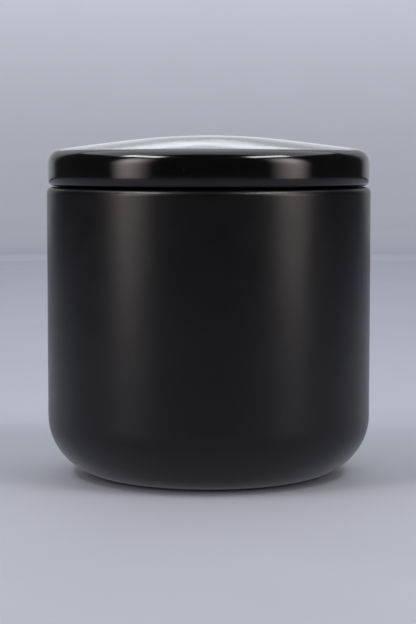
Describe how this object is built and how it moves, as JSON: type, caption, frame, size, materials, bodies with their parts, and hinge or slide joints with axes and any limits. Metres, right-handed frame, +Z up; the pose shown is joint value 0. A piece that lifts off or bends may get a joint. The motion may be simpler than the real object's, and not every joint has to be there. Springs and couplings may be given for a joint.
{
  "type": "candle jar",
  "caption": "Round straight-sided black ceramic candle vessel with a rounded base, an open wax cavity, and a lift-off domed lid with a silicone seal.",
  "frame": {"origin": "centre of the foot ring, on the surface the jar stands on", "axes": "+Z up along the turning axis of the jar, lid and seal; X and Y lie in the surface, and the part looks the same from every side"},
  "size_m": [0.09, 0.09, 0.0942],
  "materials": {
    "jar_glaze": "satin-matt black glaze over stoneware, bare clay on the foot ring",
    "lid_glaze": "gloss black glaze over stoneware",
    "seal_silicone": "milky translucent silicone, satin moulded surface"
  },
  "bodies": {
    "jar": {"jar": "jar_glaze"},
    "lid": {"lid": "lid_glaze", "seal_ring": "seal_silicone"}
  },
  "joints": [
    {"name": "lid_lift", "type": "slide", "parent": "jar", "child": "lid", "axis": [0, 0, 1], "range_m": [0, 0.03]}
  ]
}
